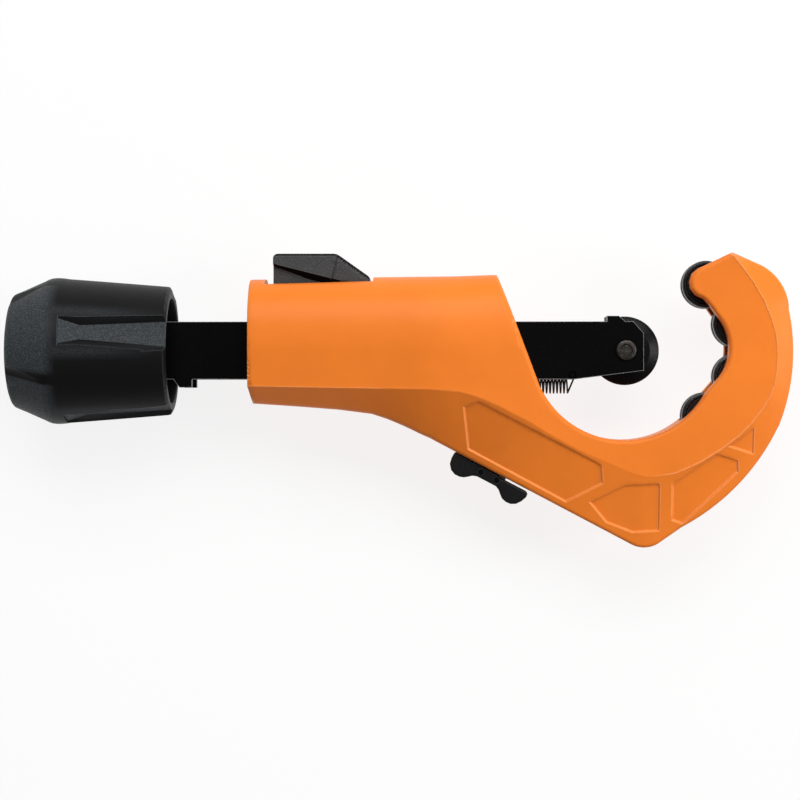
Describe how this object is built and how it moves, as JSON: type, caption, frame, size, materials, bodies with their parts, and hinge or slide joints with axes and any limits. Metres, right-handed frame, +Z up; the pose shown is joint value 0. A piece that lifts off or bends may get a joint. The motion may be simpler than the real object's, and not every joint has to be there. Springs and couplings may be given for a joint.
{
  "type": "pipe cutter",
  "caption": "Hand-held tube cutter with a C-shaped roller hook, a sliding cutting wheel, a quick-release thumb lever, a screw feed knob and a slide-out deburring blade.",
  "frame": {"origin": "centre of the footprint of the whole tool lying on its side, at the lowest point of the knob", "axes": "+X along the slide from the knob to the hook, +Y towards the side with the thumb lever, +Z up, out of the plane of the hook"},
  "size_m": [0.2658, 0.0996, 0.0498],
  "materials": {
    "frame_paint": "satin powder coat on an aluminium die casting",
    "slide_black": "satin black oxide",
    "wheel_steel": "black oxide, ground edge",
    "roller_steel": "black oxide, polished rim",
    "pin_steel": "ground",
    "clip_steel": "bright spring steel",
    "spring_black": "black spring wire",
    "screw_steel": "zinc plated",
    "nut_bronze": "machined",
    "block_steel": "machined",
    "bolt_black": "black oxide",
    "knob_plastic": "fine moulded texture",
    "lever_plastic": "moulded texture",
    "thumb_plastic": "satin moulded",
    "blade_steel": "ground"
  },
  "bodies": {
    "frame": {"frame_body": "frame_paint", "roller_pin_1": "pin_steel", "roller_pin_2": "pin_steel", "roller_pin_3": "pin_steel", "roller_pin_4": "pin_steel", "spring_anchor_pin": "pin_steel", "lever_pin": "pin_steel", "lever_spring": "clip_steel", "deburr_detent": "clip_steel"},
    "carriage": {"nut_block": "nut_bronze"},
    "slide": {"slide_bar": "slide_black", "wheel_pin": "pin_steel", "wheel_clip": "clip_steel", "spring_front_pin": "pin_steel", "slide_spring": "spring_black", "end_block": "block_steel", "end_block_pins": "pin_steel"},
    "knob": {"knob_shell": "knob_plastic", "knob_insert": "block_steel", "knob_bolt": "bolt_black", "knob_plug": "knob_plastic", "feed_screw": "screw_steel", "thrust_washer_front": "clip_steel", "thrust_washer_rear": "clip_steel"},
    "wheel": {"cutter_wheel": "wheel_steel"},
    "roller_1": {"roller_1": "roller_steel"},
    "roller_2": {"roller_2": "roller_steel"},
    "roller_3": {"roller_3": "roller_steel"},
    "roller_4": {"roller_4": "roller_steel"},
    "lever": {"release_lever": "lever_plastic", "lock_shoe": "block_steel"},
    "deburrer": {"deburr_slider": "thumb_plastic", "deburr_blade": "blade_steel", "deburr_rivets": "pin_steel"}
  },
  "joints": [
    {"name": "quick_slide", "type": "slide", "parent": "frame", "child": "carriage", "axis": [1, 0, 0], "range_m": [-0.022, 0.0128], "deforming": ["slide_spring"]},
    {"name": "fine_feed", "type": "slide", "parent": "carriage", "child": "slide", "axis": [1, 0, 0], "range_m": [-0.00705, 0.00605]},
    {"name": "knob_spin", "type": "hinge", "parent": "slide", "child": "knob", "pos_m": [-0.0997, 0.0167, 0.0249], "axis": [1, 0, 0], "range_deg": [-1680, 1440]},
    {"name": "wheel_spin", "type": "hinge", "parent": "slide", "child": "wheel", "pos_m": [0.0765, 0.0167, 0.0249], "axis": [0, 0, 1], "continuous": true},
    {"name": "roller_1_spin", "type": "hinge", "parent": "frame", "child": "roller_1", "pos_m": [0.1037, 0.039, 0.0249], "axis": [0, 0, 1], "continuous": true},
    {"name": "roller_2_spin", "type": "hinge", "parent": "frame", "child": "roller_2", "pos_m": [0.114, 0.0257, 0.0249], "axis": [0, 0, 1], "continuous": true},
    {"name": "roller_3_spin", "type": "hinge", "parent": "frame", "child": "roller_3", "pos_m": [0.1141, 0.0078, 0.0249], "axis": [0, 0, 1], "continuous": true},
    {"name": "roller_4_spin", "type": "hinge", "parent": "frame", "child": "roller_4", "pos_m": [0.1035, -0.0054, 0.0249], "axis": [0, 0, 1], "continuous": true},
    {"name": "lever_press", "type": "hinge", "parent": "frame", "child": "lever", "pos_m": [-0.0267, 0.0339, 0.0249], "axis": [0, 0, 1], "range_deg": [0, 7], "stiffness_Nm_per_rad": 0.3, "springref_deg": -6.88, "deforming": ["lever_spring"]},
    {"name": "deburr_slide", "type": "slide", "parent": "frame", "child": "deburrer", "axis": [0.8862, -0.4633, 0], "range_m": [0, 0.022]}
  ],
  "couplings": [
    {"joint": "fine_feed", "follows": "knob_spin", "m_per_rad": 0.00023873}
  ]
}
